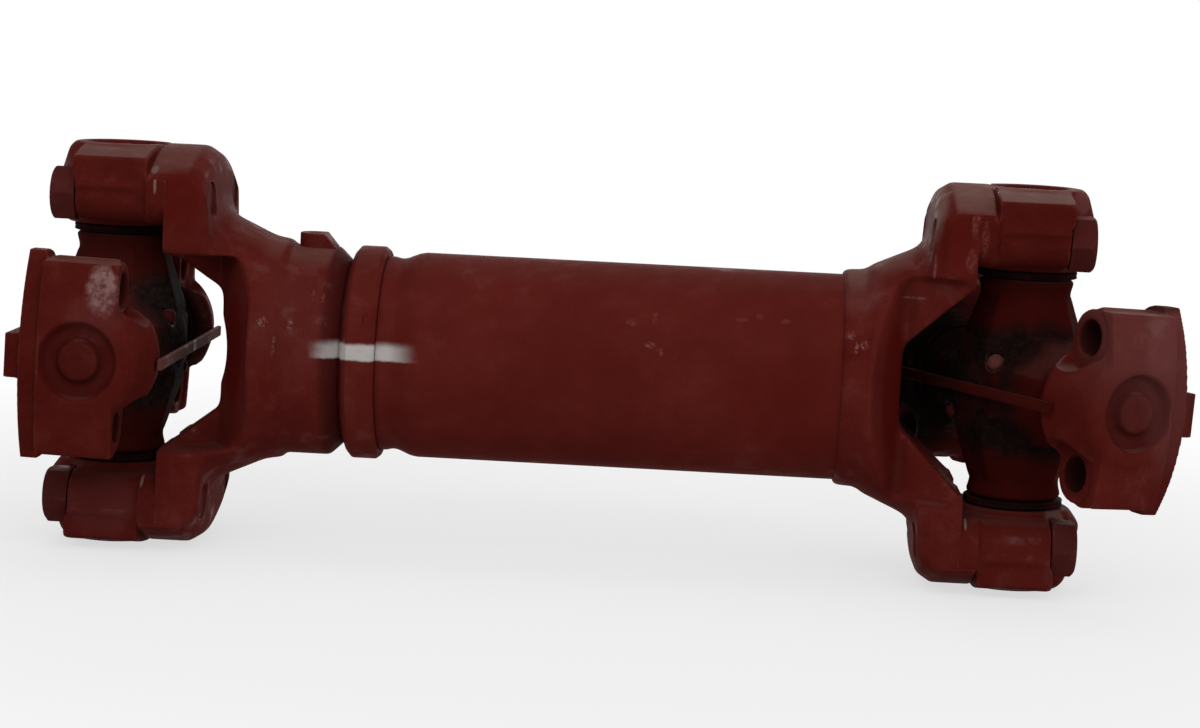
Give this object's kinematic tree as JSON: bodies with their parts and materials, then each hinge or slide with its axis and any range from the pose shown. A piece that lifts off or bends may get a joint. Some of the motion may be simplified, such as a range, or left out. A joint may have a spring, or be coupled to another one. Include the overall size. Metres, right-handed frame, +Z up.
{
  "type": "universal joint shaft",
  "caption": "Short driveshaft with a wing-bearing universal joint at each end and a splined slip yoke, painted dark red.",
  "frame": {"origin": "on the surface that the shaft stands on, under the middle of its outline", "axes": "+X along the shaft from the slip yoke to the tube yoke, +Y from the picture's front to its rear, +Z up"},
  "size_m": [0.4194, 0.1484, 0.1482],
  "materials": {
    "red_oxide_paint": "dark red oxide paint over forged and welded steel, semi-gloss, dusty on upward faces",
    "oiled_forging": "dark forged steel, oily, with bare bright edges",
    "bearing_steel": "ground hardened steel",
    "seal_rubber": "black nitrile rubber"
  },
  "bodies": {
    "tube_shaft": {"shaft_tube": "red_oxide_paint", "tube_yoke": "red_oxide_paint", "splined_stub": "red_oxide_paint", "tube_end_block_top": "red_oxide_paint", "tube_end_seal_top": "seal_rubber", "tube_end_needles_top": "bearing_steel", "tube_end_thrust_washer_top": "bearing_steel", "tube_end_block_bottom": "red_oxide_paint", "tube_end_seal_bottom": "seal_rubber", "tube_end_needles_bottom": "bearing_steel", "tube_end_thrust_washer_bottom": "bearing_steel", "tube_end_bolt_top_front": "red_oxide_paint", "tube_end_bolt_top_rear": "red_oxide_paint", "tube_end_bolt_bottom_front": "red_oxide_paint", "tube_end_bolt_bottom_rear": "red_oxide_paint"},
    "slip_shaft": {"slip_yoke": "red_oxide_paint", "dust_collar": "red_oxide_paint", "dust_seal": "seal_rubber", "throat_plug": "red_oxide_paint", "spline_grease_plug": "red_oxide_paint", "slip_end_block_top": "red_oxide_paint", "slip_end_seal_top": "seal_rubber", "slip_end_needles_top": "bearing_steel", "slip_end_thrust_washer_top": "bearing_steel", "slip_end_block_bottom": "red_oxide_paint", "slip_end_seal_bottom": "seal_rubber", "slip_end_needles_bottom": "bearing_steel", "slip_end_thrust_washer_bottom": "bearing_steel", "slip_end_bolt_top_front": "red_oxide_paint", "slip_end_bolt_top_rear": "red_oxide_paint", "slip_end_bolt_bottom_front": "red_oxide_paint", "slip_end_bolt_bottom_rear": "red_oxide_paint"},
    "slip_end_spider": {"slip_end_cross": "oiled_forging", "slip_end_nipple_front": "bearing_steel", "slip_end_nipple_rear": "bearing_steel"},
    "slip_end_free_blocks": {"slip_end_block_front": "red_oxide_paint", "slip_end_seal_front": "seal_rubber", "slip_end_needles_front": "bearing_steel", "slip_end_thrust_washer_front": "bearing_steel", "slip_end_block_rear": "red_oxide_paint", "slip_end_seal_rear": "seal_rubber", "slip_end_needles_rear": "bearing_steel", "slip_end_thrust_washer_rear": "bearing_steel", "slip_end_retaining_strap": "red_oxide_paint"},
    "tube_end_spider": {"tube_end_cross": "oiled_forging", "tube_end_nipple_front": "bearing_steel", "tube_end_nipple_rear": "bearing_steel"},
    "tube_end_free_blocks": {"tube_end_block_front": "red_oxide_paint", "tube_end_seal_front": "seal_rubber", "tube_end_needles_front": "bearing_steel", "tube_end_thrust_washer_front": "bearing_steel", "tube_end_block_rear": "red_oxide_paint", "tube_end_seal_rear": "seal_rubber", "tube_end_needles_rear": "bearing_steel", "tube_end_thrust_washer_rear": "bearing_steel", "tube_end_retaining_strap": "red_oxide_paint"}
  },
  "joints": [
    {"name": "spline_slide", "type": "slide", "parent": "tube_shaft", "child": "slip_shaft", "axis": [-1, 0, 0], "range_m": [0, 0.022]},
    {"name": "slip_end_swing", "type": "hinge", "parent": "slip_shaft", "child": "slip_end_spider", "pos_m": [-0.18223, -0.00001, 0.07411], "axis": [0, 0, 1], "range_deg": [-29.4, 30.6]},
    {"name": "slip_end_tilt", "type": "hinge", "parent": "slip_end_spider", "child": "slip_end_free_blocks", "pos_m": [-0.18223, -0.00001, 0.07411], "axis": [-0.0105, -0.9999, 0], "range_deg": [-18.6, 21.4]},
    {"name": "tube_end_swing", "type": "hinge", "parent": "tube_shaft", "child": "tube_end_spider", "pos_m": [0.15277, -0.00001, 0.07411], "axis": [0, 0, 1], "range_deg": [-58.6, 1.4]},
    {"name": "tube_end_tilt", "type": "hinge", "parent": "tube_end_spider", "child": "tube_end_free_blocks", "pos_m": [0.15277, -0.00001, 0.07411], "axis": [-0.4787, 0.878, 0], "range_deg": [-23.2, 16.8]}
  ]
}
